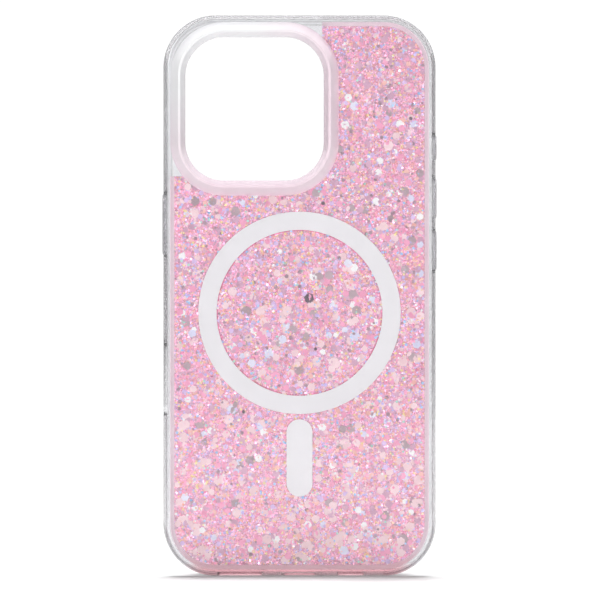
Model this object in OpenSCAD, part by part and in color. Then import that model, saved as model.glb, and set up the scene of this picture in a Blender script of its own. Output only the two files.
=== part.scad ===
// Clear magnetic phone case: flexible bumper, hard back plate, glitter layer and magnet ring.
// Every part is drawn lying face down: x across, y from the bottom edge to the top edge, and
// z from the front lip (0) to the back face. upright() then stands the case on its bottom edge
// with the back facing -Y and the open front facing +Y.

/* [Phone] */
// Width of the phone that the case holds
phone_w = 71.5; // [69:0.1:74]
// Height of the phone
phone_h = 149.6; // [146:0.1:152]
// Thickness of the phone without its cameras
phone_d = 8.25; // [7.6:0.05:8.8]
// Free room between the phone and each side wall
side_fit = 0.1; // [0.05:0.05:0.2]
// Free room between the phone and each end wall
end_fit = 0.35; // [0.1:0.05:0.5]

/* [Bumper] */
// Thickness of the bumper's walls
wall = 1.25; // [1.2:0.05:1.4]
// Radius of the outside corners, seen from the back
corner_r = 14.2; // [13:0.1:15]
// Height of the lip in front of the screen
lip_t = 1.05; // [0.8:0.05:1.3]
// How far the lip reaches over the screen's edge
lip_reach = 0.9; // [0.6:0.1:1.2]
// Width of the bumper's rim around the back plate
rim_w = 1.8; // [1.6:0.1:2]
// Edge radius on the back
back_edge_r = 1.7; // [1.2:0.1:1.7]
// Edge radius on the front
front_edge_r = 1.1; // [0.6:0.1:1.2]

/* [Back layers] */
// Thickness of the hard clear plate
plate_t = 0.8; // [0.6:0.05:1]
// Thickness of the glitter layer
glitter_t = 0.45; // [0.4:0.05:0.6]
// Width of the clear border around the glitter
border_w = 1.2; // [0.8:0.1:1.6]
// Thickness of the tinted film behind the resin
film_t = 0.1; // [0.08:0.01:0.15]
// Thickness of the liner against the phone
liner_t = 0.85; // [0.8:0.05:1]

/* [Camera guard] */
// Centre of the camera opening, in from the phone's left side
camera_from_side = 23.5; // [22.5:0.1:24]
// Centre of the camera opening, down from the phone's top end
camera_from_top = 23.95; // [23:0.05:24.5]
// Corner radius of the guard's foot
guard_r = 14.7; // [14:0.1:15]
// Height of the guard's crest over the back face
guard_rise = 2.4; // [1.8:0.1:2.8]

/* [Magnets] */
// Height of the ring's centre above the bottom edge
ring_y = 71.7; // [70:0.1:73]
// Outside radius of the white ring
ring_outer_r = 27.6; // [27:0.1:28]
// Inside radius of the white ring
ring_inner_r = 22.6; // [22.3:0.1:23]
// Number of magnets in the ring
magnet_count = 36; // [24:2:40]
// Gap between the ring and the alignment bar below it
bar_gap = 1.4; // [1:0.1:2]
// Width of the white alignment bar
bar_w = 7.1; // [6.6:0.1:7.4]
// Length of the white alignment bar
bar_l = 21.1; // [20:0.1:22]

/* [Glitter flakes] */
// Spacing of the large flakes
flake_pitch = 6.6; // [6:0.2:10]
// Smallest flake, from centre to corner
flake_r_min = 0.7; // [0.5:0.05:0.8]
// Largest flake, from centre to corner
flake_r_max = 1.15; // [0.9:0.05:1.3]

/* [Buttons and openings] */
// Width of every button pad
pad_w = 3.4; // [3:0.1:3.8]
// How far a button pad stands out of the side
pad_rise = 0.45; // [0.3:0.05:0.6]
// How far a button pad moves in when pressed
travel = 0.35; // [0.2:0.05:0.35]
// Length of the slot for the side control
control_l = 20; // [18:0.5:21]
// Width of the slot for the side control
control_w = 5.2; // [4.8:0.1:5.6]
// Width of the charging port's opening
port_w = 12.4; // [11.6:0.1:13]
// Height of the charging port's opening
port_h = 6.2; // [5.6:0.1:6.4]
// Width of the speaker and microphone slots
slot_w = 2.6; // [2:0.1:3]

/* [Hidden] */
$fn = 96;

// Levels, from the front lip to the back face
floor_z = lip_t + phone_d + side_fit;
film_z = floor_z + liner_t;
glitter_z = film_z + film_t;
plate_z = glitter_z + glitter_t;
case_d = plate_z + plate_t;
crest_z = case_d + guard_rise;
mid_z = (lip_t + floor_z) / 2;

// The outside size, without the button pads
case_w = phone_w + 2 * (side_fit + wall);
case_h = phone_h + 2 * (end_fit + wall);

// The bumper's section, as depths in from the outside face
lip_u = wall + lip_reach;
ledge_w = 1;
ledge_u = rim_w + ledge_w;
lip_inner_r = 0.45;

// Bonded layers leave this much room at their edges
seam = 0.05;
glitter_u = rim_w + border_w;

// The guard stands this far inside the bumper's rim
guard_gap = 0.1;
camera_x = camera_from_side - phone_w / 2;
camera_y = case_h - wall - end_fit - camera_from_top;
guard_w = 2 * (case_w / 2 + camera_x - rim_w - guard_gap);
guard_h = 2 * (case_h - camera_y - rim_w - guard_gap);

// The guard's section, as depths in from its foot
guard_skirt_u = 1.2;
guard_crest_u = 2.5;
guard_crest_r = 0.4;
guard_inner_u = 4.1;
guard_foot_t = 0.2;
guard_inner_rise = 0.9;

// The bumper fills the corner beside the guard: plate and glitter start below and right of it
clear_x = 6.2;
clear_below_camera = 18.35;
clear_y = camera_y - clear_below_camera;

// The magnets and their covers
cover_t = 0.12;
inner_cover_t = 0.08;
magnet_t = 0.5;
adhesive_t = 0.07;
magnet_side = 0.4;
magnet_gap = 0.15;
pocket_fit = 0.1;
bar_magnet_count = 2;
pocket_t = inner_cover_t + magnet_t + adhesive_t;
bar_y = ring_y - ring_outer_r - bar_gap - bar_l / 2;

// Flakes lie on the film, under the resin, each a little off its place in an even grid
flake_t = 0.08;
flake_sway = 1.9;
flake_seed = 7;
flake_columns = ceil(case_w / flake_pitch);
flake_rows = ceil(case_h / flake_pitch);
flake_luck = rands(0, 1, 4 * flake_columns * flake_rows, flake_seed);

// The buttons: [side, height above the bottom edge, pad length]; side 1 is +X
action = [1, 116.9, 6.7];
volume_up = [1, 103, 10.8];
volume_down = [1, 88.7, 10.8];
side_key = [-1, 95.9, 16.7];
buttons = [action, volume_up, volume_down, side_key];
pad_gap = 0.2;
pad_edge_r = 0.4;
well_margin = 1;
well_t = 0.2;
skin_t = 0.6;
flange_w = 0.7;
flange_play = 0.05;

// A pressed pad's flange ends flush with the inside of the wall
flange_t = wall - skin_t - flange_play - travel;

// The openings in the wall
control_y = 53.5;
control_bevel = 1;
control_bevel_t = 0.45;
speaker_x = -16.2;
speaker_l = 12.6;
microphone_x = 14;
microphone_l = 7.8;

// Cutters run this far past what they cut
past = 1;

// ---- Shared shapes ----

module upright() {
    translate([0, crest_z / 2, 0]) rotate([90, 0, 0]) children();
}

module rounded_rect(w, h, r) {
    square([w - 2 * r, h], center = true);
    square([w, h - 2 * r], center = true);
    for (x = [-1, 1], y = [-1, 1])
        translate([x * (w / 2 - r), y * (h / 2 - r)]) circle(r);
}

// A slot's outline with round ends, along y
module stadium(l, w) {
    square([w, l - w], center = true);
    for (y = [-1, 1]) translate([0, y * (l - w) / 2]) circle(w / 2);
}

// What is left of a square outside the quarter circle that rounds its corner at the origin
module corner_waste(r, x_way, y_way) {
    scale([x_way, y_way]) translate([-r, -r]) difference() {
        square(r + past);
        circle(r);
    }
}

// Runs a section around a rounded rectangle. The section's x is 0 on the outline, negative inside.
module around(w, h, r) {
    for (turn = [0, 90, 180, 270]) {
        across = turn % 180 == 0 ? w : h;
        along = turn % 180 == 0 ? h : w;
        rotate(turn) {
            translate([across / 2, along / 2 - r, 0]) rotate([90, 0, 0])
                linear_extrude(along - 2 * r) children();
            translate([across / 2 - r, along / 2 - r, 0])
                rotate_extrude(angle = 90) translate([r, 0]) children();
        }
    }
}

// ---- Outlines, centred where the part is ----

module at_centre() {
    translate([0, case_h / 2]) children();
}

module at_camera() {
    translate([camera_x, camera_y]) children();
}

// The outline that is inset by u from the outside of the case
module case_outline(u) {
    at_centre() rounded_rect(case_w - 2 * u, case_h - 2 * u, corner_r - u);
}

// The outline that is inset by u from the guard's foot
module guard_outline(u) {
    at_camera() rounded_rect(guard_w - 2 * u, guard_h - 2 * u, guard_r - u);
}

// The corner that the guard and the bumper fill
module clear_corner() {
    translate([-case_w, camera_y]) square([case_w + clear_x, case_h]);
    translate([-case_w, clear_y]) square([case_w + camera_x, case_h]);
}

module ring_outline(outer_r, inner_r) {
    translate([0, ring_y]) difference() {
        circle(outer_r);
        circle(inner_r);
    }
}

module bar_outline(grow) {
    translate([0, bar_y]) stadium(bar_l + 2 * grow, bar_w + 2 * grow);
}

// ---- Bumper ----

module bumper_section() {
    difference() {
        translate([-ledge_u, 0]) square([ledge_u, case_d]);
        translate([-ledge_u - past, lip_t]) square([ledge_u + past - wall, floor_z - lip_t]);
        translate([-ledge_u - past, -past]) square([ledge_u + past - lip_u, lip_t + 2 * past]);
        translate([-ledge_u - past, film_z]) square([ledge_u + past - rim_w, case_d]);
        translate([0, case_d]) corner_waste(back_edge_r, 1, 1);
        corner_waste(front_edge_r, 1, -1);
        translate([-lip_u, 0]) corner_waste(lip_inner_r, -1, -1);
    }
}

// Puts a shape on the side wall: its z points out of the case, its y up the case
module on_side(side, y) {
    mirror([side < 0 ? 1 : 0, 0, 0]) translate([case_w / 2, y, mid_z]) rotate([0, 90, 0]) children();
}

// Puts a shape on the bottom wall: its z points out of the case, its x across the case
module on_bottom(x) {
    translate([x, 0, mid_z]) rotate([90, 0, 0]) children();
}

module button_window(b) {
    on_side(b[0], b[1]) {
        translate([0, 0, -well_t]) linear_extrude(well_t + past)
            stadium(b[2] + 2 * well_margin, pad_w + 2 * well_margin);
        translate([0, 0, -wall - past]) linear_extrude(wall + 2 * past)
            stadium(b[2] + 2 * pad_gap, pad_w + 2 * pad_gap);
        translate([0, 0, -wall - past]) linear_extrude(wall + past - skin_t)
            stadium(b[2] + 2 * (flange_w + pad_gap), pad_w + 2 * (flange_w + pad_gap));
    }
}

module control_opening() {
    on_side(-1, control_y) {
        translate([0, 0, -wall - past]) linear_extrude(wall + 2 * past)
            stadium(control_l, control_w);
        translate([0, 0, -control_bevel_t]) linear_extrude(control_bevel_t + past)
            stadium(control_l + 2 * control_bevel, control_w + 2 * control_bevel);
    }
}

module bottom_opening(x, l, w) {
    on_bottom(x) translate([0, 0, -ledge_u - past])
        linear_extrude(ledge_u + 2 * past) rotate(90) stadium(l, w);
}

// A slab of the bumper that fills the clear corner as far as the guard
module corner_fill(z, t, guard_u) {
    translate([0, 0, z]) linear_extrude(t) difference() {
        intersection() {
            case_outline(rim_w);
            clear_corner();
        }
        guard_outline(guard_u - seam);
    }
}

module bumper_frame() {
    color("aliceblue", 0.5) upright() difference() {
        union() {
            translate([0, case_h / 2]) around(case_w, case_h, corner_r) bumper_section();
            corner_fill(film_z, plate_z - film_z, guard_skirt_u);
            corner_fill(plate_z, plate_t, 0);
        }
        for (b = buttons) button_window(b);
        control_opening();
        bottom_opening(0, port_w, port_h);
        bottom_opening(speaker_x, speaker_l, slot_w);
        bottom_opening(microphone_x, microphone_l, slot_w);
    }
}

// ---- Back layers ----

// One flat layer, inset by u, that ends at the guard and at the clear corner
module layer(z, t, u, guard_u) {
    translate([0, 0, z]) linear_extrude(t) difference() {
        case_outline(u);
        guard_outline(guard_u - seam);
        clear_corner();
    }
}

module back_plate() {
    color("white", 0.3) upright() layer(plate_z, plate_t, rim_w + seam, 0);
}

module glitter_resin() {
    color("hotpink", 0.8) upright() difference() {
        layer(glitter_z + flake_t, glitter_t - flake_t, glitter_u, guard_skirt_u);
        translate([0, 0, plate_z - cover_t]) linear_extrude(cover_t + past) {
            ring_outline(ring_outer_r + seam, ring_inner_r - seam);
            bar_outline(seam);
        }
    }
}

// A clear strip that bonds the film to the plate around the glitter
module border_adhesive() {
    color("white", 0.3) upright() difference() {
        layer(glitter_z, glitter_t, rim_w + seam, guard_skirt_u);
        translate([0, 0, glitter_z - past]) linear_extrude(glitter_t + 2 * past)
            case_outline(glitter_u - seam);
    }
}

module tint_film() {
    color("pink") upright() layer(film_z, film_t, rim_w + seam, guard_skirt_u);
}

// How far a point is outside the straight part of the case's outline, along one direction
function beyond(at, half) = max(0, abs(at) - half + corner_r);

// True where a whole flake fits in the glitter
function in_glitter(x, y) =
    norm([beyond(x, case_w / 2), beyond(y - case_h / 2, case_h / 2)])
        < corner_r - glitter_u - flake_r_max
    && (x > camera_x + guard_w / 2 + flake_r_max || y < camera_y - guard_h / 2 - flake_r_max);

// The large hexagonal flakes. The fine glitter between them is part of the resin.
module glitter_flakes() {
    color("thistle") upright() translate([0, 0, glitter_z])
        for (i = [0 : flake_columns - 1], j = [0 : flake_rows - 1]) {
            luck = 4 * (i * flake_rows + j);
            x = (i + 0.5) * flake_pitch - case_w / 2 + flake_sway * (2 * flake_luck[luck] - 1);
            y = (j + 0.5) * flake_pitch + flake_sway * (2 * flake_luck[luck + 1] - 1);
            r = flake_r_min + (flake_r_max - flake_r_min) * flake_luck[luck + 2];
            if (in_glitter(x, y)) translate([x, y]) rotate(60 * flake_luck[luck + 3])
                linear_extrude(flake_t) circle(r, $fn = 6);
        }
}

module inner_liner() {
    color("mistyrose", 0.6) upright() difference() {
        translate([0, 0, floor_z]) linear_extrude(liner_t) difference() {
            case_outline(ledge_u + seam);
            guard_outline(guard_skirt_u - seam);
        }
        translate([0, 0, floor_z - past]) linear_extrude(pocket_t + past) {
            ring_outline(ring_outer_r + pocket_fit, ring_inner_r - pocket_fit);
            bar_outline(pocket_fit);
        }
    }
}

// The guard's foot lies beside the plate, and its skirt goes through all the layers below
module camera_guard_section() {
    polygon([
        [0, plate_z], [0, case_d + guard_foot_t],
        [guard_crest_r - guard_crest_u, crest_z - guard_crest_r],
        [-guard_crest_u - guard_crest_r, crest_z - guard_crest_r],
        [-guard_inner_u, case_d + guard_inner_rise], [-guard_inner_u, floor_z],
        [-guard_skirt_u, floor_z], [-guard_skirt_u, plate_z]
    ]);
    translate([-guard_crest_u, crest_z - guard_crest_r]) circle(guard_crest_r);
}

module camera_guard() {
    color("white", 0.6) upright() at_camera() around(guard_w, guard_h, guard_r) camera_guard_section();
}

// ---- Magnet ring and alignment bar ----

module ring_cover(z, t) {
    translate([0, 0, z]) linear_extrude(t) ring_outline(ring_outer_r, ring_inner_r);
}

module bar_cover(z, t) {
    translate([0, 0, z]) linear_extrude(t) bar_outline(0);
}

module ring_cover_outer() {
    color("whitesmoke") upright() ring_cover(plate_z - cover_t, cover_t);
}

module bar_cover_outer() {
    color("whitesmoke") upright() bar_cover(plate_z - cover_t, cover_t);
}

module ring_cover_inner() {
    color("whitesmoke") upright() ring_cover(floor_z, inner_cover_t);
}

module bar_cover_inner() {
    color("whitesmoke") upright() bar_cover(floor_z, inner_cover_t);
}

// Separate arc magnets, side by side around the ring
module ring_magnets() {
    step = 360 / magnet_count;
    gap = magnet_gap / ring_inner_r * 180 / PI;
    inner = ring_inner_r + magnet_side;
    color("silver") upright() translate([0, ring_y, floor_z + inner_cover_t])
        for (i = [0 : magnet_count - 1]) rotate(i * step)
            rotate_extrude(angle = step - gap) translate([inner, 0])
                square([ring_outer_r - magnet_side - inner, magnet_t]);
}

module ring_adhesive() {
    color("gold") upright() ring_cover(floor_z + inner_cover_t + magnet_t, adhesive_t);
}

// Straight magnets in a row along the bar
module bar_magnets() {
    l = (bar_l - bar_w / 2) / bar_magnet_count;
    w = bar_w - 4 * magnet_side;
    color("silver") upright() translate([0, bar_y, floor_z + inner_cover_t + magnet_t / 2])
        for (i = [0 : bar_magnet_count - 1])
            translate([0, (i - (bar_magnet_count - 1) / 2) * l, 0])
                cube([w, l - magnet_gap, magnet_t], center = true);
}

module bar_adhesive() {
    color("gold") upright() bar_cover(floor_z + inner_cover_t + magnet_t, adhesive_t);
}

// ---- Buttons ----

// Half of a pad's section: a block whose top outer corner is round
module pad_section(half_w, h) {
    difference() {
        square([half_w, h]);
        translate([half_w, h]) corner_waste(pad_edge_r, 1, 1);
    }
}

// A pad with round ends and a round top edge, along y
module pad(l, w, h) {
    translate([0, (l - w) / 2, 0]) rotate([90, 0, 0]) linear_extrude(l - w) {
        pad_section(w / 2, h);
        mirror([1, 0]) pad_section(w / 2, h);
    }
    for (y_way = [0, 180]) rotate(y_way) translate([0, (l - w) / 2, 0])
        rotate_extrude(angle = 180) pad_section(w / 2, h);
}

module button(b) {
    flange_z = -skin_t - flange_play - flange_t;
    color("aliceblue", 0.5) upright() on_side(b[0], b[1]) translate([0, 0, flange_z]) {
        pad(b[2], pad_w, pad_rise - flange_z);
        linear_extrude(flange_t) stadium(b[2] + 2 * flange_w, pad_w + 2 * flange_w);
    }
}

module action_button() {
    button(action);
}

module volume_up_button() {
    button(volume_up);
}

module volume_down_button() {
    button(volume_down);
}

module side_button() {
    button(side_key);
}

bumper_frame();
back_plate();
camera_guard();
glitter_resin();
glitter_flakes();
border_adhesive();
tint_film();
inner_liner();
ring_cover_outer();
ring_cover_inner();
ring_magnets();
ring_adhesive();
bar_cover_outer();
bar_cover_inner();
bar_magnets();
bar_adhesive();
action_button();
volume_up_button();
volume_down_button();
side_button();
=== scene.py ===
import math
import random

import bmesh
import bpy
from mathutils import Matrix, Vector


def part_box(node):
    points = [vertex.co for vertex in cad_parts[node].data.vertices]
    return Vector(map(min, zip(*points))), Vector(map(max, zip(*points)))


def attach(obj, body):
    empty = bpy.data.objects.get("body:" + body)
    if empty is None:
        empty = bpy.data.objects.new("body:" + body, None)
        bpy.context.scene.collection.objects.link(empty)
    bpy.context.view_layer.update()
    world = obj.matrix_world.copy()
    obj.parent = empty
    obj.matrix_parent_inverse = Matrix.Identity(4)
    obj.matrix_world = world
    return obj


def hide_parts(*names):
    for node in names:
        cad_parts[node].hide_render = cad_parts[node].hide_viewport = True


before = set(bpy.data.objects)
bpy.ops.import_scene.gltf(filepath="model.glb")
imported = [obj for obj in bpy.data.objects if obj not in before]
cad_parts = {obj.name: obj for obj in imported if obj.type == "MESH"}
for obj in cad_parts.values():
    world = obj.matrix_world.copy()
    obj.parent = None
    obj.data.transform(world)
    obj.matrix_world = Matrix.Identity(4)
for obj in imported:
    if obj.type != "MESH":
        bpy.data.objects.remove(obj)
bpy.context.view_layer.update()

# Lengths are in metres: a number of millimetres times MM.
# x runs across, y from the glitter back (negative) to the open front, and z up.
MM = 0.001

# ---- What the frame gives ----

BUMPER_LOW, BUMPER_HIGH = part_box("bumper_frame")
LINER_LOW, LINER_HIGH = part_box("inner_liner")
RESIN_LOW, RESIN_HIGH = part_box("glitter_resin")
GUARD_LOW, GUARD_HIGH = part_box("camera_guard")
RING_LOW, RING_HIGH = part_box("ring_cover_outer")
BAR_LOW, BAR_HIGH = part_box("bar_cover_outer")

BACK_Y = BUMPER_LOW.y
FRONT_Y = BUMPER_HIGH.y
FLOOR_Y = LINER_HIGH.y
FILM_Y = LINER_LOW.y
UNDER_PLATE_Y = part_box("back_plate")[1].y

RING_X, RING_Z = (RING_LOW.x + RING_HIGH.x) / 2, (RING_LOW.z + RING_HIGH.z) / 2
RING_R = (RING_HIGH.x - RING_LOW.x) / 2
# The bar has round ends, with their centres at BAR_TOP and BAR_BOTTOM.
BAR_HALF_W = (BAR_HIGH.x - BAR_LOW.x) / 2
BAR_TOP, BAR_BOTTOM = BAR_HIGH.z - BAR_HALF_W, BAR_LOW.z + BAR_HALF_W

# ---- The case's section and outlines, as part.scad has them ----

# Corner radii, then distances in from the outside: of the wall's inner face, of the back sheets'
# edge, of the ledge under the film and of the lip over the screen
CASE_R = 14.2 * MM
GUARD_R = 14.7 * MM
WALL = 1.25 * MM
RIM = 1.8 * MM
LEDGE = 2.8 * MM
LIP = 2.15 * MM
LIP_T = 1.05 * MM
BACK_EDGE_R = 1.7 * MM
FRONT_EDGE_R = 1.1 * MM
LIP_EDGE_R = 0.45 * MM
CAVITY_EDGE_R = 0.15 * MM
SEAM = 0.05 * MM  # how far solids that are joined reach into each other

GUARD_SKIRT = 1.2 * MM
GUARD_INNER = 4.1 * MM
GUARD_FOOT = 0.2 * MM
GUARD_FOOT_R = 0.12 * MM
GUARD_CREST = (2.2 * MM, 2.8 * MM)
GUARD_CREST_R = 0.35 * MM
GUARD_INNER_RISE = 0.9 * MM
GUARD_INNER_R = 0.5 * MM

# The clear corner reaches to here beside the guard and below it
CLEAR_X = 6.2 * MM
CLEAR_Z = 108.9 * MM

GLITTER_INSET = 3.0 * MM  # from the outside
RING_WIDTH = 5.0 * MM

# Buttons: the gap round a pad, the flange that keeps it in, the wall's skin outside the flange,
# and the shallow well round the pad
MID_Y = (FRONT_Y - LIP_T + FLOOR_Y) / 2
PAD_GAP = 0.2 * MM
PAD_EDGE_R = 0.35 * MM
PAD_CROWN = 0.06 * MM
PAD_FLANGE = 0.7 * MM
PAD_FLANGE_T = 0.25 * MM
PAD_PLAY = 0.05 * MM
SKIN = 0.6 * MM
WELL = 1.0 * MM
WELL_T = 0.2 * MM
WELL_EDGE_R = 0.1 * MM

# Openings in the bottom wall: middle, length and width
PORT = (0.0, 12.4 * MM, 6.2 * MM)
SPEAKER = (-16.2 * MM, 12.6 * MM, 2.6 * MM)
MICROPHONE = (14.0 * MM, 7.8 * MM, 2.6 * MM)
SLOT_OUTER_R = 0.3 * MM
SLOT_INNER_R = 0.15 * MM

# The opening for the side control: its height on the wall, length and width, and the scoop round
# it as (reach past the opening, depth) in mm
CONTROL_Z = 53.5 * MM
CONTROL = (20.0 * MM, 5.2 * MM)
SCOOP = [(1.2, 0), (1.1, 0.03), (0.95, 0.1), (0.75, 0.2), (0.55, 0.29), (0.35, 0.36),
         (0.2, 0.41), (0.1, 0.46), (0.03, 0.54), (0, 0.65)]

PAST = 1.0 * MM  # how far a cutter reaches past the face that it cuts
SHEET_GAP = 0.01 * MM  # left on each side of a clear sheet

# How finely outlines are drawn, and the angle from which an edge is crisp
CORNER_STEPS = 64
RUN_STEP = 2 * MM
CRISP_ANGLE = math.radians(35)


# ---- Outlines and sections ----

class Outline:
    """A rounded rectangle in the x, z plane, seen from the back."""

    def __init__(self, x, z, half_w, half_h, radius):
        self.x, self.z = x, z
        self.half_w, self.half_h = half_w, half_h
        self.radius = radius

    def distance(self, x, z):
        """How far a point is outside the outline. Negative inside."""
        across = abs(x - self.x) - self.half_w + self.radius
        along = abs(z - self.z) - self.half_h + self.radius
        outside = math.hypot(max(across, 0), max(along, 0))
        return outside + min(max(across, along), 0) - self.radius

    def path(self):
        """Points round the outline, each with its outward direction, as (x, z, out_x, out_z)."""
        points = []
        for turn in range(4):
            across, along = (self.half_h, self.half_w) if turn % 2 else (self.half_w, self.half_h)
            run = 2 * (along - self.radius)
            count = max(1, round(run / RUN_STEP))
            local = [(across, -run / 2 + run * i / count, 1, 0) for i in range(count)]
            for i in range(CORNER_STEPS):
                angle = math.pi / 2 * i / CORNER_STEPS
                c, s = math.cos(angle), math.sin(angle)
                local.append((across - self.radius * (1 - c), run / 2 + self.radius * s, c, s))
            cos, sin = round(math.cos(math.pi / 2 * turn)), round(math.sin(math.pi / 2 * turn))
            for x, z, dx, dz in local:
                points.append((self.x + x * cos - z * sin, self.z + x * sin + z * cos,
                               dx * cos - dz * sin, dx * sin + dz * cos))
        return points


def filleted(corners, steps=12):
    """A closed polygon of (a, b, radius) corners as points, with an arc at each corner."""
    points = []
    for i, (a, b, radius) in enumerate(corners):
        here = Vector((a, b))
        if not radius:
            points.append((a, b))
            continue
        before = (Vector(corners[i - 1][:2]) - here).normalized()
        after = (Vector(corners[(i + 1) % len(corners)][:2]) - here).normalized()
        half = before.angle(after) / 2
        centre = here + (before + after).normalized() * radius / math.sin(half)
        first = here + before * radius / math.tan(half) - centre
        last = here + after * radius / math.tan(half) - centre
        turn = math.pi - 2 * half
        for k in range(steps + 1):
            t = k / steps
            arm = first * math.sin((1 - t) * turn) + last * math.sin(t * turn)
            points.append(tuple(centre + arm / math.sin(turn)))
    return points


CASE = Outline((BUMPER_LOW.x + BUMPER_HIGH.x) / 2, (BUMPER_LOW.z + BUMPER_HIGH.z) / 2,
               (BUMPER_HIGH.x - BUMPER_LOW.x) / 2, (BUMPER_HIGH.z - BUMPER_LOW.z) / 2, CASE_R)
GUARD = Outline((GUARD_LOW.x + GUARD_HIGH.x) / 2, (GUARD_LOW.z + GUARD_HIGH.z) / 2,
                (GUARD_HIGH.x - GUARD_LOW.x) / 2, (GUARD_HIGH.z - GUARD_LOW.z) / 2, GUARD_R)


# ---- Mesh helpers ----

def mesh_from(name, bm):
    """Turns a bmesh into a mesh with its faces pointing outward, and frees it."""
    bmesh.ops.recalc_face_normals(bm, faces=bm.faces)
    mesh = bpy.data.meshes.new(name)
    bm.to_mesh(mesh)
    bm.free()
    return mesh


def stitch(bm, loop, after):
    """Joins two rings of vertices with a band of faces."""
    for k in range(len(loop)):
        n = (k + 1) % len(loop)
        bm.faces.new((loop[k], loop[n], after[n], after[k]))


def skinned(rings):
    """Joins rings of points into one closed tube of faces, the last ring to the first."""
    bm = bmesh.new()
    loops = [[bm.verts.new(p) for p in ring] for ring in rings]
    for i, loop in enumerate(loops):
        stitch(bm, loop, loops[(i + 1) % len(loops)])
    return bm


def stacked(rings):
    """A closed solid from rings of points, with the first and the last ring filled."""
    bm = bmesh.new()
    loops = [[bm.verts.new(p) for p in ring] for ring in rings]
    for loop, after in zip(loops, loops[1:]):
        stitch(bm, loop, after)
    bm.faces.new(loops[0])
    bm.faces.new(loops[-1])
    return bm


def swept(outline, section):
    """A closed section of (inward, y) points run round an outline."""
    return skinned([
        [(x - out_x * u, y, z - out_z * u) for u, y in section]
        for x, z, out_x, out_z in outline.path()
    ])


def prism(outline, levels):
    """A solid block inside an outline. Each level is (inset, y)."""
    return stacked([
        [(x - out_x * u, y, z - out_z * u) for x, z, out_x, out_z in outline.path()]
        for u, y in levels
    ])


def stadium(length, width, steps=16):
    """A slot's outline with round ends, as (along, across) points."""
    r, straight = width / 2, (length - width) / 2
    points = []
    for k in range(2 * steps + 1):
        a = -math.pi / 2 + math.pi * k / (2 * steps)
        points.append((straight + r * math.cos(a), r * math.sin(a)))
    return points + [(-along, -across) for along, across in points]


def slot(length, width, levels, place):
    """A solid with a slot's outline. Each level is (grow, depth), and place gives the point."""
    return stacked([
        [place(a, b, depth) for a, b in stadium(length + 2 * grow, width + 2 * grow)]
        for grow, depth in levels
    ])


def flare(radius, depth=0, way=1, steps=4):
    """Levels of a cutter that rounds the edge it leaves on a face at that depth."""
    turns = [math.pi / 2 * k / steps for k in range(steps + 1)]
    levels = [(radius * (1 - math.sin(a)), depth + way * radius * (1 - math.cos(a))) for a in turns]
    return levels if way > 0 else levels[::-1]


def added(name, data):
    """A new object in the scene."""
    thing = bpy.data.objects.new(name, data)
    bpy.context.scene.collection.objects.link(thing)
    return thing


def temporary(bm):
    """An object made from a bmesh, to be cut, joined or named later."""
    return added("temporary", mesh_from("temporary", bm))


def combine(base, tool, operation):
    """Base joined with, cut by or kept within tool, which is used up."""
    cut = base.modifiers.new("combine", "BOOLEAN")
    cut.operation = operation
    cut.solver = "EXACT"
    cut.object = tool
    bpy.context.view_layer.update()
    result = base.evaluated_get(bpy.context.evaluated_depsgraph_get())
    done = bpy.data.meshes.new_from_object(result)
    base.modifiers.clear()
    base.data = done
    bpy.data.objects.remove(tool)
    return base


def joined(parts):
    """Several loose solids as one bmesh."""
    whole = bmesh.new()
    for bm in parts:
        mesh = mesh_from("part", bm)
        whole.from_mesh(mesh)
        bpy.data.meshes.remove(mesh)
    return whole


def finish_piece(thing, name, body, material, replaces):
    """Names a piece, shades it smooth with crisp edges, and ties it to the frame."""
    thing.name = name
    thing.data.name = name
    thing.data.materials.clear()
    thing.data.materials.append(material)
    thing.data.shade_smooth()
    thing.data.set_sharp_from_angle(angle=CRISP_ANGLE)
    even = thing.modifiers.new("even_shading", "WEIGHTED_NORMAL")
    even.keep_sharp = True
    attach(thing, body)
    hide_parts(*replaces)


# ---- Material helpers ----

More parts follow.
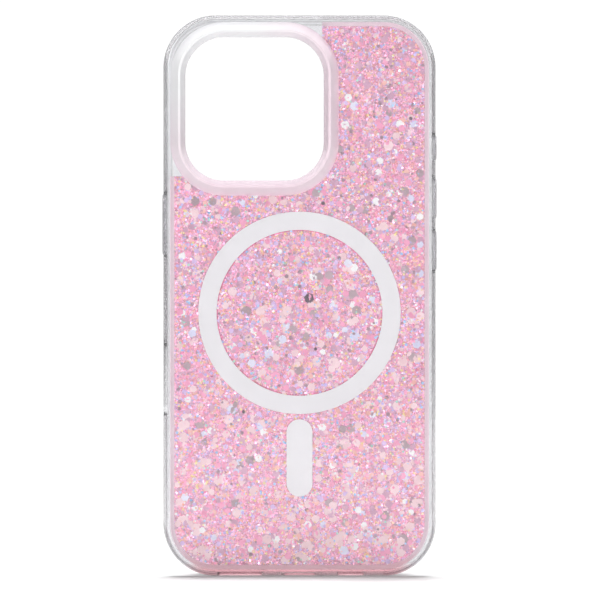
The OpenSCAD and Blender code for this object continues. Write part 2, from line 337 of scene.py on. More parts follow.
class Nodes:
    """A node tree, with short calls for the nodes used here."""

    def __init__(self, tree):
        self.tree = tree

    def put(self, socket, value):
        """Links a value that is a socket, and sets one that isn't."""
        if isinstance(value, bpy.types.NodeSocket):
            self.tree.links.new(value, socket)
        else:
            socket.default_value = value

    def add(self, kind, values=(), **settings):
        node = self.tree.nodes.new("ShaderNode" + kind)
        for key, value in settings.items():
            setattr(node, key, value)
        for key, value in dict(values).items():
            self.put(node.inputs[key], value)
        return node

    def place(self):
        return self.add("TexCoord").outputs["Object"]

    def spot(self):
        """The x, y and z of a place on the surface."""
        return self.add("SeparateXYZ", {0: self.place()}).outputs

    def turned(self):
        """0 where the surface faces the eye, and 1 where it is edge on."""
        return self.add("LayerWeight", {"Blend": 0.5}).outputs["Facing"]

    def noise(self, size_mm, detail, place=None):
        place = self.place() if place is None else place
        values = {"Vector": place, "Scale": 1 / (size_mm * MM), "Detail": detail}
        return self.add("TexNoise", values).outputs["Fac"]

    def spread(self, value, low, high, from_low=0.3, from_high=0.7):
        """Maps a value from its usual range to low..high."""
        node = self.add("MapRange", {"Value": value, "From Min": from_low, "From Max": from_high,
                                     "To Min": low, "To Max": high})
        return node.outputs["Result"]

    def mix(self, factor, a, b):
        """Colour a where the factor is 0, and b where it is 1."""
        return self.add("Mix", {0: factor, 6: a, 7: b}, data_type="RGBA").outputs[2]

    def ramp(self, value, interpolation, stops):
        """A colour for each value from 0 to 1. Each stop is (value, colour)."""
        node = self.add("ValToRGB", {"Fac": value})
        node.color_ramp.interpolation = interpolation
        elements = node.color_ramp.elements
        while len(elements) < len(stops):
            elements.new(0.5)
        for element, (at, colour) in zip(elements, stops):
            element.position = at
            element.color = colour
        return node.outputs["Color"]

    def maths(self, operation, a, b=0.0):
        return self.add("Math", {0: a, 1: b}, operation=operation).outputs[0]

    def vector_maths(self, operation, a, values=()):
        return self.add("VectorMath", {0: a, **dict(values)}, operation=operation).outputs

    def bump(self, height, strength, distance_mm):
        values = {"Height": height, "Strength": strength, "Distance": distance_mm * MM}
        return self.add("Bump", values).outputs["Normal"]

    def blend(self, share, a, b):
        """Shader node a where the share is 0, and b where it is 1."""
        return self.add("MixShader", {0: share, 1: a.outputs[0], 2: b.outputs[0]})


class Material(Nodes):
    """A material's node tree, with the shader and the output that it starts with."""

    def __init__(self, name):
        self.material = bpy.data.materials.new(name)
        self.material.use_nodes = True
        super().__init__(self.material.node_tree)
        self.shader = next(n for n in self.tree.nodes if n.type == "BSDF_PRINCIPLED")
        self.output = next(n for n in self.tree.nodes if n.type == "OUTPUT_MATERIAL")

    def set(self, **values):
        """Sets inputs of the main shader, and returns the material."""
        for key, value in values.items():
            self.put(self.shader.inputs[key.replace("_", " ")], value)
        return self.material

    def surface(self, node):
        """Makes another shader node the surface, and returns the material."""
        self.put(self.output.inputs["Surface"], node.outputs[0])
        return self.material

    def lit_through(self, soft, lamps):
        """Lets soft light and lamps straight through, each with a tint, to light what is behind."""
        path = self.add("LightPath").outputs
        light = self.maths("MAXIMUM", path["Is Shadow Ray"], path["Is Diffuse Ray"])
        tint = self.mix(path["Is Shadow Ray"], soft, lamps)
        through = self.add("BsdfTransparent", {"Color": tint})
        return self.surface(self.blend(light, self.shader, through))


def linear(red, green, blue):
    """A screen colour from 0 to 255 as the linear colour that a shader takes."""
    def one(value):
        value /= 255
        return value / 12.92 if value <= 0.04045 else ((value + 0.055) / 1.055) ** 2.4
    return (one(red), one(green), one(blue), 1)


# ---- Materials ----

PLASTIC_IOR = 1.46

# Tints for what passes through clear plastic: soft light, and lamps through a wall or the guard
SOFT_TINT = (0.985, 0.985, 0.99, 1)
LAMP_TINT = (0.93, 0.93, 0.935, 1)
GUARD_LAMP_TINT = (0.85, 0.85, 0.86, 1)

# Near the bottom edge the bumper gets a painted pink glow, for the glitter's light in the wall,
# and keeps more light off the floor. The face it stands on gets a painted shade, for its
# contact shadow.
PAINTED_PINK_GLOW = linear(250, 186, 196)
PAINTED_BAND_HEIGHT = 3.5 * MM
BOTTOM_LAMP_TINT = (0.35, 0.33, 0.335, 1)
PAINTED_SOLE_SHADE = linear(188, 172, 174)
PAINTED_SOLE_HEIGHT = 0.5 * MM

# How many times as much a clear sheet mirrors edge on as it does face on
EDGE_ON_SHINE = 24


def clear_plastic(name, edge, painted_glow=None):
    """Clear moulded plastic: painted grey shade where it turns away, with a drifting tone and a
    worn haze.
    """
    n = Material(name)
    drift = n.noise(14, 2)
    haze = n.noise(1.2, 4)
    # Painted shade: the colour goes to the edge grey where the surface turns away
    grey = n.maths("POWER", n.spread(n.turned(), 0, 1, 0.12, 0.85), 1.3)
    clear = n.mix(n.spread(drift, 0, 1), linear(240, 240, 242), linear(247, 247, 249))
    colour = n.mix(grey, clear, edge)
    lamps = LAMP_TINT
    # Painted pink glow along the bottom edge and painted shade on the face it stands on; lamps pass
    # less there
    if painted_glow is not None:
        height = n.spot()["Z"]
        low = n.spread(height, 1, 0, 0, PAINTED_BAND_HEIGHT)
        lamps = n.mix(low, LAMP_TINT, BOTTOM_LAMP_TINT)
        colour = n.mix(low, colour, painted_glow)
        colour = n.mix(n.spread(height, 1, 0, PAINTED_SOLE_HEIGHT / 5, PAINTED_SOLE_HEIGHT), colour, PAINTED_SOLE_SHADE)
    n.set(Base_Color=colour, Transmission_Weight=0.94, IOR=PLASTIC_IOR,
          Roughness=n.spread(haze, 0.1, 0.16))
    return n.lit_through(SOFT_TINT, lamps)


def clear_sheet(name, tint, gloss_rough, least_shine=0.04):
    """A thin clear sheet: what is behind shows unbent, under a polished face with scratches."""
    n = Material(name)
    through = n.add("BsdfTransparent", {"Color": tint})
    stretched = n.add("Mapping", {"Vector": n.place(), "Scale": (1, 1, 14)}).outputs[0]
    scratches = n.noise(6.25, 5, stretched)
    rough = n.spread(scratches, gloss_rough, gloss_rough * 3)
    shine = n.add("BsdfGlossy", {"Color": (1, 1, 1, 1), "Roughness": rough})
    turned = n.maths("POWER", n.turned(), 5)
    share = n.spread(turned, least_shine, EDGE_ON_SHINE * least_shine, 0, 1)
    n.tree.nodes.remove(n.shader)
    return n.surface(n.blend(share, through, shine))


# Where each speck colour starts, as a share of the specks, and the colour
SPECK_SHADES = [
    (0.0, linear(238, 164, 196)), (0.12, linear(220, 160, 188)), (0.24, linear(240, 148, 182)),
    (0.33, linear(246, 192, 214)), (0.42, linear(214, 178, 200)), (0.51, linear(246, 186, 174)),
    (0.59, linear(232, 150, 160)), (0.65, linear(208, 186, 234)), (0.73, linear(250, 226, 234)),
    (0.80, linear(178, 144, 162)), (0.86, linear(252, 218, 164)), (0.92, linear(182, 200, 246)),
    (0.97, linear(255, 250, 252)),
]

# The fine and the coarse specks: cell size in mm, the share of coarse cells that stay empty, how
# far a coarse speck reaches in its cell, and how far specks tilt
FINE_CELL, COARSE_CELL = 0.36, 0.8
COARSE_EMPTY = 0.55
COARSE_REACH = 0.42
SPECK_TILT = 0.4

# Two tones that drift through the resin, and how much of each shows at most
SALMON = linear(250, 164, 180)
LILAC = linear(228, 172, 208)
TONE_SHARE = 0.42

# The thin painted shadow line along the white print, for its shadow on the glitter: its width
# inside the ring, the share of that width and of the strength that it has at the other edges,
# its strength and its colour
PRINT_SHADOW_WIDTH = 0.3 * MM
FAINT_SHARE = 0.6
PRINT_SHADOW_STRENGTH = 0.85
PRINT_SHADOW_COLOUR = linear(222, 96, 146)


def painted_print_shadow(n):
    """How much the painted shadow line along the edges of the white ring and bar shows at a place.
    """
    spot = n.spot()
    x = n.maths("SUBTRACT", spot["X"], RING_X)
    nearest = n.add("Clamp", {0: spot["Z"], 1: BAR_BOTTOM, 2: BAR_TOP}).outputs[0]

    def distance(z):
        return n.vector_maths("LENGTH", n.add("CombineXYZ", {0: x, 1: z}).outputs[0])[1]

    def band(far, edge, share):
        values = {0: far, 1: edge, 2: PRINT_SHADOW_WIDTH * share}
        return n.add("Math", values, operation="COMPARE").outputs[0]

    from_ring = distance(n.maths("SUBTRACT", spot["Z"], RING_Z))
    from_bar = distance(n.maths("SUBTRACT", spot["Z"], nearest))
    strong = band(from_ring, RING_R - RING_WIDTH, 1)
    faint = n.maths("MAXIMUM", band(from_ring, RING_R, FAINT_SHARE),
                    band(from_bar, BAR_HALF_W, FAINT_SHARE))
    line = n.maths("MAXIMUM", strong, n.maths("MULTIPLY", faint, FAINT_SHARE))
    return n.maths("MULTIPLY", line, PRINT_SHADOW_STRENGTH)


def fine_glitter(name):
    """Resin packed with fine glitter: each cell is a speck with its own colour and tilt."""
    n = Material(name)
    flat = n.add("Mapping", {"Vector": n.place(), "Rotation": (math.pi / 2, 0, 0)}).outputs[0]

    def speck(luck):
        return n.ramp(luck, "CONSTANT", SPECK_SHADES)

    def cells(size_mm):
        values = {"Vector": flat, "Scale": 1 / (size_mm * MM)}
        return n.add("TexVoronoi", values, voronoi_dimensions="2D").outputs

    fine, coarse = cells(FINE_CELL), cells(COARSE_CELL)
    fine_luck = n.add("SeparateColor", {0: fine["Color"]}).outputs
    coarse_luck = n.add("SeparateColor", {0: coarse["Color"]}).outputs
    is_coarse = n.maths("GREATER_THAN", coarse_luck["Green"], COARSE_EMPTY)
    near = n.maths("LESS_THAN", coarse["Distance"], COARSE_REACH)
    share = n.maths("MULTIPLY", is_coarse, near)
    colour = n.mix(share, speck(fine_luck["Red"]), speck(coarse_luck["Red"]))
    colour = n.mix(n.spread(n.noise(7, 2), 0, TONE_SHARE), colour, SALMON)
    colour = n.mix(n.spread(n.noise(5, 2, flat), 0, TONE_SHARE), colour, LILAC)
    # Painted shadow line round the white ring and bar
    colour = n.mix(painted_print_shadow(n), colour, PRINT_SHADOW_COLOUR)
    luck = n.mix(share, fine["Color"], coarse["Color"])
    tilt = n.vector_maths("SUBTRACT", luck, {1: (0.5, 0.5, 0.5)})[0]
    tilt = n.vector_maths("SCALE", tilt, {"Scale": SPECK_TILT})[0]
    facing = n.add("NewGeometry").outputs["Normal"]
    normal = n.vector_maths("NORMALIZE", n.vector_maths("ADD", facing, {1: tilt})[0])[0]
    return n.set(Base_Color=colour, Metallic=0.65, Normal=normal,
                 Roughness=n.spread(fine_luck["Blue"], 0.14, 0.38, 0, 1))


def flake_foil(name, shade, spread, metallic, rough):
    """Metallised film: each flake a little different, with a grain across it."""
    n = Material(name)
    each = n.add("NewGeometry").outputs["Random Per Island"]
    grain = n.noise(0.25, 2)
    light = linear(*[min(255, c + spread) for c in shade])
    dark = linear(*[max(0, c - spread) for c in shade])
    return n.set(Base_Color=n.mix(each, dark, light), Metallic=metallic,
                 Roughness=n.spread(grain, rough, rough + 0.12))


def white_print(name):
    """White ink with a soft tooth and a barely uneven coat."""
    n = Material(name)
    tooth = n.noise(0.4, 4)
    coat = n.noise(11, 3)
    white = n.mix(n.spread(coat, 0, 1), linear(236, 234, 236), linear(240, 238, 240))
    return n.set(Base_Color=white, Roughness=n.spread(tooth, 0.5, 0.66),
                 Normal=n.bump(tooth, 0.08, 0.05), Specular_IOR_Level=0.35)


def pearl_film(name, shade, pearl, painted_low_shade):
    """Tinted film: a pearly tone drifts across it, with a painted shade deeper along the bottom
    edge.
    """
    n = Material(name)
    drift = n.noise(18, 3)
    speck = n.noise(0.3, 2)
    # Painted shade: deeper pink along the bottom edge
    low = n.spread(n.spot()["Z"], 1, 0, PAINTED_BAND_HEIGHT, PAINTED_BAND_HEIGHT * 2)
    colour = n.mix(n.spread(drift, 0, 1), shade, pearl)
    return n.set(Base_Color=n.mix(low, colour, painted_low_shade), Roughness=n.spread(speck, 0.3, 0.45))


def guard_plastic(name):
    """Clear plastic with a painted pink glow, for light from the film, on the sides that lie over
    it, and a painted grey shade where it turns away.
    """
    n = Material(name)
    # Painted pink glow on the right and lower sides, where the guard lies over the film
    spot = n.spot()
    right = n.spread(spot["X"], 0, 1, GUARD.x, GUARD.x + GUARD.half_w)
    down = n.spread(spot["Z"], 0, 1, GUARD.z + GUARD.half_h * 0.2, GUARD.z - GUARD.half_h)
    over = n.maths("MAXIMUM", right, down)
    milk = n.noise(6, 3)
    # Painted shade: greyer where the surface turns away
    grey = n.maths("POWER", n.spread(n.turned(), 0, 1, 0.05, 0.9), 1.2)
    pink = n.mix(n.spread(milk, 0, 1), linear(252, 232, 242), linear(246, 222, 233))
    clear = n.mix(over, linear(251, 251, 252), pink)
    n.set(Base_Color=n.mix(grey, clear, linear(222, 219, 224)), Transmission_Weight=0.6,
          IOR=PLASTIC_IOR, Roughness=n.spread(milk, 0.12, 0.2))
    return n.lit_through(SOFT_TINT, GUARD_LAMP_TINT)


def plain_metal(name, shade, rough):
    """Bare plated metal with a faint stain."""
    n = Material(name)
    stain = n.noise(1.5, 4)
    colour = n.mix(n.spread(stain, 0, 1), shade, (0.75, 0.74, 0.72, 1))
    return n.set(Base_Color=colour, Metallic=1.0, Roughness=n.spread(stain, rough, rough + 0.15))


def tape(name):
    """Dull adhesive tape with a fine weave."""
    n = Material(name)
    weave = n.noise(0.5, 4)
    colour = n.mix(n.spread(weave, 0, 1), linear(214, 204, 176), linear(228, 220, 198))
    return n.set(Base_Color=colour, Roughness=n.spread(weave, 0.5, 0.7))


# ---- Bumper ----

def bumper_section():
    """The wall's section: outer face, back edge, the ledge for the back, cavity and lip."""
    lip_y = FRONT_Y - LIP_T
    return filleted([
        (0, FRONT_Y, FRONT_EDGE_R), (0, BACK_Y, BACK_EDGE_R), (RIM, BACK_Y, 0), (RIM, FILM_Y, 0),
        (LEDGE, FILM_Y, 0), (LEDGE, FLOOR_Y, 0), (WALL, FLOOR_Y, CAVITY_EDGE_R),
        (WALL, lip_y, CAVITY_EDGE_R), (LIP, lip_y, CAVITY_EDGE_R), (LIP, FRONT_Y, LIP_EDGE_R),
    ])


def corner_fill():
    """The slab beside the guard, flush with the back."""
    slab = temporary(prism(CASE, [(RIM - SEAM, FILM_Y), (RIM - SEAM, BACK_Y)]))
    top, left, floor, lid = CASE.z * 3, -CASE.half_w * 2, FILM_Y + PAST, BACK_Y - PAST
    corner = [(left, CLEAR_Z), (GUARD.x, CLEAR_Z), (GUARD.x, GUARD.z), (CLEAR_X, GUARD.z),
              (CLEAR_X, top), (left, top)]
    kept = temporary(stacked([[(x, y, z) for x, z in corner] for y in (floor, lid)]))
    slab = combine(slab, kept, "INTERSECT")
    skirt = GUARD_SKIRT - SEAM
    levels = [(skirt, floor), (skirt, UNDER_PLATE_Y), (-SEAM, UNDER_PLATE_Y), (-SEAM, lid)]
    return combine(slab, temporary(prism(GUARD, levels)), "DIFFERENCE")


def on_side(side, centre_z):
    """Places a slot on a side wall: along is up, and depth goes into the case."""
    face = CASE.half_w * side
    return lambda along, across, depth: (face - side * depth, MID_Y + across, centre_z + along)


def on_bottom(centre_x):
    """Places a slot on the bottom wall: along is to the right, and depth goes into the case."""
    return lambda along, across, depth: (centre_x + along, MID_Y + across, depth)


# Each button's CAD node and its body
BUTTONS = {
    "action_button": "action_cover",
    "volume_up_button": "volume_up_cover",
    "volume_down_button": "volume_down_cover",
    "side_button": "side_cover",
}


def button_facts(node):
    """Side, height, pad length, pad width and how far the pad stands out, from the CAD node."""
    low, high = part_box(node)
    side = 1 if low.x > 0 else -1
    rise = (high.x if side > 0 else -low.x) - CASE.half_w
    length = high.z - low.z - 2 * PAD_FLANGE
    width = high.y - low.y - 2 * PAD_FLANGE
    return side, (low.z + high.z) / 2, length, width, rise


def button_window(node):
    """A cutter for a pad's well, its window and the pocket for its flange."""
    side, z, length, width, _ = button_facts(node)
    pocket = PAD_FLANGE + PAD_GAP
    levels = [(WELL + WELL_EDGE_R, -PAST)]
    levels += [(WELL + grow, depth) for grow, depth in flare(WELL_EDGE_R)]
    levels += [(WELL, WELL_T)]
    levels += [(PAD_GAP + grow, depth) for grow, depth in flare(WELL_EDGE_R, WELL_T)]
    levels += [(PAD_GAP, SKIN), (pocket, SKIN), (pocket, WALL + PAST)]
    return slot(length, width, levels, on_side(side, z))


def inner_edge():
    """Levels of a cutter that rounds the wall's inner edge and goes on past it."""
    return flare(SLOT_INNER_R, WALL, -1) + [(SLOT_INNER_R, WALL + PAST)]


def through_slot(length, width, place):
    """A cutter for an opening with rounded edges."""
    levels = [(SLOT_OUTER_R, -PAST)] + flare(SLOT_OUTER_R) + inner_edge()
    return slot(length, width, levels, place)


def control_slot():
    """A cutter for the side control's opening, with a scooped edge for the fingertip."""
    scoop = [(grow * MM, depth * MM) for grow, depth in SCOOP]
    levels = [(scoop[0][0], -PAST)] + scoop + inner_edge()
    return slot(*CONTROL, levels, on_side(-1, CONTROL_Z))


def bumper_frame():
    """The clear wall and lip round the case, with the clear corner and every cutout."""
    wall = temporary(swept(CASE, bumper_section()))
    wall = combine(wall, corner_fill(), "UNION")
    cutters = [button_window(node) for node in BUTTONS] + [control_slot()]
    for x, length, width in (PORT, SPEAKER, MICROPHONE):
        cutters.append(through_slot(length, width, on_bottom(x)))
    wall = combine(wall, temporary(joined(cutters)), "DIFFERENCE")
    # The grey passed to clear_plastic is the painted shade where the wall turns away
    finish_piece(wall, "clear_bumper", "case",
                 clear_plastic("clear_bumper", linear(198, 198, 201), PAINTED_PINK_GLOW), ["bumper_frame"])


# ---- Camera guard ----

def camera_guard():
    """The raised guard: foot, sloping face, narrow crest, and a skirt through the layers."""
    crest_out, crest_in = GUARD_CREST
    crest_y = GUARD_LOW.y
    section = filleted([
        (0, UNDER_PLATE_Y, 0), (0, BACK_Y - GUARD_FOOT, GUARD_FOOT_R),
        (crest_out, crest_y, GUARD_CREST_R), (crest_in, crest_y, GUARD_CREST_R),
        (GUARD_INNER, BACK_Y - GUARD_INNER_RISE, GUARD_INNER_R),
        (GUARD_INNER, FLOOR_Y, CAVITY_EDGE_R), (GUARD_SKIRT, FLOOR_Y, 0),
        (GUARD_SKIRT, UNDER_PLATE_Y, 0),
    ])
    finish_piece(temporary(swept(GUARD, section)), "clear_guard", "case",
                 guard_plastic("guard_plastic"), ["camera_guard"])


# ---- Buttons ----

PAD_EDGE_STEPS = 6
CROWN_LEVELS = (0.45, 0.62, 0.8, 0.94)  # as shares of the way in to the middle


def button(node, body, material):
    """A pad with a soft edge and a slight crown, on the flange that keeps it in its window."""
    side, z, length, width, rise = button_facts(node)
    flange_top = SKIN + PAD_PLAY
    shoulder = PAD_CROWN - rise
    levels = [(PAD_FLANGE, flange_top + PAD_FLANGE_T), (PAD_FLANGE, flange_top), (0, flange_top),
              (0, PAD_EDGE_R + shoulder)]
    for k in range(1, PAD_EDGE_STEPS + 1):
        a = math.pi / 2 * k / PAD_EDGE_STEPS
        levels.append((-PAD_EDGE_R * (1 - math.cos(a)), PAD_EDGE_R * (1 - math.sin(a)) + shoulder))
    for share in CROWN_LEVELS:
        levels.append((-width / 2 * share, PAD_CROWN * (1 - share) ** 2 - rise))
    pad = temporary(slot(length, width, levels, on_side(side, z)))
    finish_piece(pad, node + "_pad", body, material, [node])


# ---- Glitter ----

# A flake's thickness, the pressed resin's, and the depth that the flakes lie in
FLAKE_T = 0.04 * MM
BED_T = 0.04 * MM
FLAKE_STACK = 0.1 * MM
RESIN_TOP_Y = RESIN_HIGH.y - BED_T

# How much of its radius a flake keeps inside the glitter's edge, and the radius from which it
# keeps off the painted shadow line round the white print
FLAKE_INSIDE = 0.9
LARGE_FLAKE = 0.6 * MM

# Of the places tried, the share kept where there is no lean. Steep tilts are likelier below a
# bias of 1. No flake lies lower than this share of the stack.
KEPT_SHARE = 0.5
TILT_BIAS = 0.7
LEAST_RISE = 0.2

SIDES = 6  # of a flake


def glitter_base():
    """The resin, pressed down to the bed that the flakes lie on."""
    low, high = RESIN_LOW.y, RESIN_HIGH.y
    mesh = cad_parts["glitter_resin"].data.copy()
    for vertex in mesh.vertices:
        vertex.co.y = high - (high - vertex.co.y) / (high - low) * BED_T
    finish_piece(added("glitter_bed", mesh), "glitter_bed", "case",
                 fine_glitter("fine_glitter"), ["glitter_resin"])


def takes_flake(x, z, r):
    """True where a flake shows and lies on the glitter bed."""
    if CASE.distance(x, z) > -GLITTER_INSET - r * FLAKE_INSIDE:
        return False
    if GUARD.distance(x, z) < r - GUARD_SKIRT:
        return False
    if (x < CLEAR_X + r and z > GUARD.z - r) or (x < GUARD.x + r and z > CLEAR_Z - r):
        return False
    from_ring = math.hypot(x - RING_X, z - RING_Z)
    from_bar = math.hypot(x - RING_X, z - min(max(z, BAR_BOTTOM), BAR_TOP))
    apart = r + PRINT_SHADOW_WIDTH if r > LARGE_FLAKE else 0
    on_ring = RING_R - RING_WIDTH - apart < from_ring < RING_R + apart
    return not on_ring and from_bar > BAR_HALF_W + apart


def flake_mesh(name, places):
    """Thin closed hexagons. Each place is (centre, normal, radius, spin)."""
    verts, faces = [], []
    for centre, normal, radius, spin in places:
        right = normal.orthogonal().normalized()
        up = normal.cross(right)
        first = len(verts)
        for level in (-0.5, 0.5):
            for k in range(SIDES):
                a = spin + k * 2 * math.pi / SIDES
                arm = (right * math.cos(a) + up * math.sin(a)) * radius
                verts.append(centre + arm + normal * level * FLAKE_T)
        faces.append([first + k for k in reversed(range(SIDES))])
        faces.append([first + SIDES + k for k in range(SIDES)])
        for k in range(SIDES):
            n = (k + 1) % SIDES
            faces.append([first + k, first + n, first + SIDES + n, first + SIDES + k])
    mesh = bpy.data.meshes.new(name)
    mesh.from_pydata(verts, [], faces)
    return mesh


def scatter(luck, count, sizes, most_tilt, lean):
    """Random places for flakes. lean is how much likelier they are at the bottom than the top."""
    places = []
    while len(places) < count:
        x = CASE.x + luck.uniform(-1, 1) * CASE.half_w
        z = CASE.z + luck.uniform(-1, 1) * CASE.half_h
        r = luck.uniform(*sizes) * MM
        chance = KEPT_SHARE + lean * (0.5 - z / (2 * CASE.half_h))
        if luck.random() > chance or not takes_flake(x, z, r):
            continue
        tilt = min(most_tilt, FLAKE_STACK / r) * luck.random() ** TILT_BIAS
        way = luck.uniform(0, 2 * math.pi)
        sideways = math.sin(tilt)
        normal = Vector((sideways * math.cos(way), -math.cos(tilt), sideways * math.sin(way)))
        y = RESIN_TOP_Y - luck.uniform(LEAST_RISE, 1) * FLAKE_STACK
        places.append((Vector((x, y, z)), normal, r, luck.uniform(0, 2 * math.pi / SIDES)))
    return places


# Name, count, smallest and largest radius in mm, tilt in radians, lean to the bottom,
# colour, spread, metallic and roughness
FLAKES = [
    ("cream_large", 240, (0.75, 1.45), 0.08, 0.95, (252, 216, 221), 10, 0.0, 0.4),
    ("ice_large", 44, (0.8, 1.5), 0.05, 0.2, (230, 230, 255), 10, 0.0, 0.2),
    ("white_large", 44, (0.7, 1.2), 0.05, 0.3, (255, 255, 255), 2, 0.0, 0.2),
    ("taupe_large", 52, (0.85, 1.55), 0.08, -0.5, (184, 162, 170), 10, 0.3, 0.3),
    ("rose_middle", 400, (0.45, 1.05), 0.1, 0.3, (248, 168, 200), 10, 0.2, 0.4),
    ("mauve_middle", 300, (0.45, 1.1), 0.1, -0.4, (212, 168, 192), 10, 0.3, 0.4),
    ("lilac_middle", 260, (0.4, 0.8), 0.1, -0.2, (222, 194, 236), 12, 0.2, 0.4),
    ("peach_middle", 300, (0.4, 0.75), 0.1, 0.2, (248, 190, 182), 12, 0.2, 0.4),
    ("taupe_small", 260, (0.3, 0.6), 0.15, -0.3, (168, 140, 154), 14, 0.4, 0.35),
    ("pale_small", 900, (0.25, 0.6), 0.2, 0.3, (252, 214, 222), 8, 0.1, 0.35),
    ("rose_small", 800, (0.2, 0.45), 0.2, 0.0, (244, 150, 188), 14, 0.3, 0.3),
    ("mauve_small", 700, (0.25, 0.5), 0.2, -0.3, (210, 172, 196), 14, 0.5, 0.3),
    ("lavender_small", 700, (0.22, 0.5), 0.2, -0.1, (208, 192, 244), 14, 0.3, 0.3),
    ("sky_small", 460, (0.2, 0.45), 0.2, 0.0, (172, 206, 250), 16, 0.3, 0.3),
    ("mint_small", 180, (0.2, 0.42), 0.2, 0.0, (176, 220, 208), 14, 0.3, 0.3),
    ("gold_small", 800, (0.18, 0.4), 0.2, 0.1, (255, 222, 156), 16, 0.2, 0.3),
    ("coral_small", 600, (0.2, 0.45), 0.2, 0.1, (246, 178, 158), 16, 0.3, 0.3),
    ("spark_small", 420, (0.2, 0.42), 0.2, 0.0, (255, 255, 255), 2, 0.0, 0.2),
]
# The dark flake inside the ring: x, z and radius
DARK_FLAKE = (2.6 * MM, 75.7 * MM, 1.4 * MM)


def dark_flakes(luck):
    """Places for the one dark flake inside the ring, and a few small ones about the back."""
    x, z, r = DARK_FLAKE
    places = scatter(luck, 7, (0.35, 0.65), 0.1, -0.4)
    places.append((Vector((x, RESIN_TOP_Y - FLAKE_STACK, z)), Vector((0, -1, 0)), r, 0.0))
    return places


def add_flakes(name, places, foil):
    """One piece of the case, with a flake at each place."""
    mesh = flake_mesh("flakes_" + name, places)
    mesh.materials.append(foil)
    flakes = added("flakes_" + name, mesh)
    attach(flakes, "case")
    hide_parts("glitter_flakes")


def glitter_flakes():
    """Every kind of flake, in the order of FLAKES, and then the dark ones."""
    luck = random.Random(11)
    for name, count, sizes, tilt, lean, shade, spread, metallic, rough in FLAKES:
        places = scatter(luck, count, sizes, tilt, lean)
        add_flakes(name, places, flake_foil("foil_" + name, shade, spread, metallic, rough))
    add_flakes("dark", dark_flakes(luck), flake_foil("foil_dark", (98, 84, 96), 8, 0.3, 0.35))


# ---- Frame nodes that stay ----

def dress(node, material):
    """Gives a CAD node its material."""
    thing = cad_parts[node]
    thing.data.materials.clear()
    thing.data.materials.append(material)


def clear_layer(node, name, material):
    """A clear sheet that stays just off the layers it lies on, so that both show cleanly."""
    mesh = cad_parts[node].data.copy()
    low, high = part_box(node)
    middle = (low.y + high.y) / 2
    keep = 1 - 2 * SHEET_GAP / (high.y - low.y)
    for vertex in mesh.vertices:
        vertex.co.y = middle + (vertex.co.y - middle) * keep
    finish_piece(added(name, mesh), name, "case", material, [node])


def clear_layers():
    """The plate over the glitter, the bond round it and the liner behind it."""
    clear_layer("back_plate", "clear_plate",
                clear_sheet("plate_plastic", SOFT_TINT, 0.03))
    clear_layer("border_adhesive", "clear_border",
                clear_sheet("border_bond", (1, 0.99, 0.995, 1), 0.1, 0.002))
    clear_layer("inner_liner", "clear_liner",
                clear_sheet("liner_plastic", (0.97, 0.97, 0.98, 1), 0.08))


def dress_frame_nodes():
    """Materials for the film, the white print, the magnets and their tape."""
    shade, pearl, painted_low_shade = linear(255, 224, 236), linear(255, 236, 244), linear(255, 202, 214)
    # The third film colour is the painted shade along the bottom edge
    dress("tint_film", pearl_film("pearl_film", shade, pearl, painted_low_shade))
    white = white_print("white_print")
    for node in ("ring_cover_outer", "ring_cover_inner", "bar_cover_outer", "bar_cover_inner"):
        dress(node, white)
    magnet = plain_metal("nickel", (0.62, 0.62, 0.63, 1), 0.2)
    for node in ("ring_magnets", "bar_magnets"):
        dress(node, magnet)
    strip = tape("tape")
    for node in ("ring_adhesive", "bar_adhesive"):
        dress(node, strip)


# ---- Studio ----

def studio_floor():
    """Pale matt paper, much larger than the case."""
    bm = bmesh.new()
    bmesh.ops.create_grid(bm, x_segments=8, y_segments=8, size=1.5)
    floor = temporary(bm)
    floor.name = "studio_floor"
    n = Material("floor_paper")
    tooth = n.noise(2, 3)
    paper = n.mix(n.spread(tooth, 0, 1), (0.84, 0.84, 0.84, 1), (0.86, 0.86, 0.86, 1))
    n.set(Base_Color=paper, Roughness=0.8, Specular_IOR_Level=0.2)
    floor.data.materials.append(n.material)


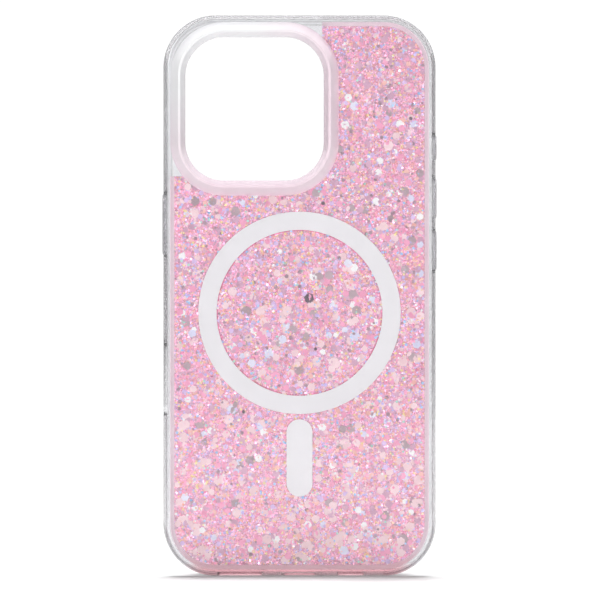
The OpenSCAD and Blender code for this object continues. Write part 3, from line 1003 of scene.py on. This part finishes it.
def studio_world():
    """White all round for the camera. The light on the case falls off to the sides and the top."""
    world = bpy.data.worlds.new("studio")
    bpy.context.scene.world = world
    world.use_nodes = True
    n = Nodes(world.node_tree)
    n.tree.nodes.clear()
    way = n.add("SeparateXYZ", {0: n.add("TexCoord").outputs["Generated"]}).outputs

    def greys(value, stops):
        return n.ramp(value, "B_SPLINE", [(at, (grey, grey, grey, 1)) for at, grey in stops])

    # How far a direction is to the side or above. The light is white and even straight behind
    # the case and straight in front of it, and grey away from there.
    across = n.maths("POWER", way["X"], 2)
    upward = n.maths("POWER", n.maths("MAXIMUM", way["Z"], 0), 2)
    away = n.maths("SQRT", n.maths("ADD", across, upward))
    behind = greys(away, [(0.0, 0.92), (0.15, 0.9), (0.4, 0.45), (0.65, 0.2), (1.0, 0.2)])
    front = greys(away, [(0.0, 0.75), (0.3, 0.65), (0.55, 0.7), (0.75, 0.25), (1.0, 0.15)])
    at_back = n.maths("GREATER_THAN", way["Y"], 0)
    light = n.add("Background", {"Color": n.mix(at_back, front, behind), "Strength": 1.04})
    seen = n.add("Background", {"Color": (1, 1, 1, 1), "Strength": 1.05})
    mixed = n.blend(n.add("LightPath").outputs["Is Camera Ray"], light, seen)
    n.add("OutputWorld", {"Surface": mixed.outputs[0]})


def softbox(name, place, aim, size, power):
    """A rectangular lamp turned towards a point."""
    lamp = bpy.data.lights.new(name, "AREA")
    lamp.shape = "RECTANGLE"
    lamp.size, lamp.size_y = size
    lamp.energy = power
    thing = added(name, lamp)
    thing.location = place
    thing.rotation_euler = (Vector(aim) - Vector(place)).to_track_quat("-Z", "Y").to_euler()


def overhead_sun():
    """Lights the floor from just behind the case, so that its shadow falls forward."""
    lamp = bpy.data.lights.new("overhead", "SUN")
    lamp.energy = 3.4
    lamp.angle = math.radians(12)
    tilt = math.radians(-6)
    thing = added("overhead", lamp)
    thing.rotation_euler = (tilt, 0, 0)
    thing.visible_glossy = False
    thing.visible_transmission = False


def studio_lights():
    """A soft key and a soft fill in front, and the sun above."""
    aim = (0, 0, CASE.z)
    softbox("key", (-0.5, -0.95, 0.35), aim, size=(0.3, 0.3), power=2.3)
    softbox("fill", (0.6, -0.85, 0.2), aim, size=(0.25, 0.35), power=1.4)
    overhead_sun()


def studio_camera():
    """Straight at the back from far away, nearly level with the middle of the case."""
    distance = 1.1
    frame_height = 164.1 * MM
    aim_x, aim_z = 0.14 * MM, 75.2 * MM
    camera = bpy.data.cameras.new("camera")
    camera.sensor_width = 36
    camera.lens = camera.sensor_width * distance / frame_height
    camera.clip_start = 0.01
    thing = added("camera", camera)
    thing.location = (aim_x, -distance, aim_z)
    thing.rotation_euler = (math.pi / 2, 0, 0)
    bpy.context.scene.camera = thing
    bpy.context.scene.view_settings.view_transform = "Standard"


bumper_frame()
camera_guard()
# The grey passed here is the painted shade where a pad turns away
button_plastic = clear_plastic("clear_button", linear(176, 176, 179))
for button_node, button_body in BUTTONS.items():
    button(button_node, button_body, button_plastic)
glitter_base()
glitter_flakes()
clear_layers()
dress_frame_nodes()
studio_floor()
studio_world()
studio_lights()
studio_camera()
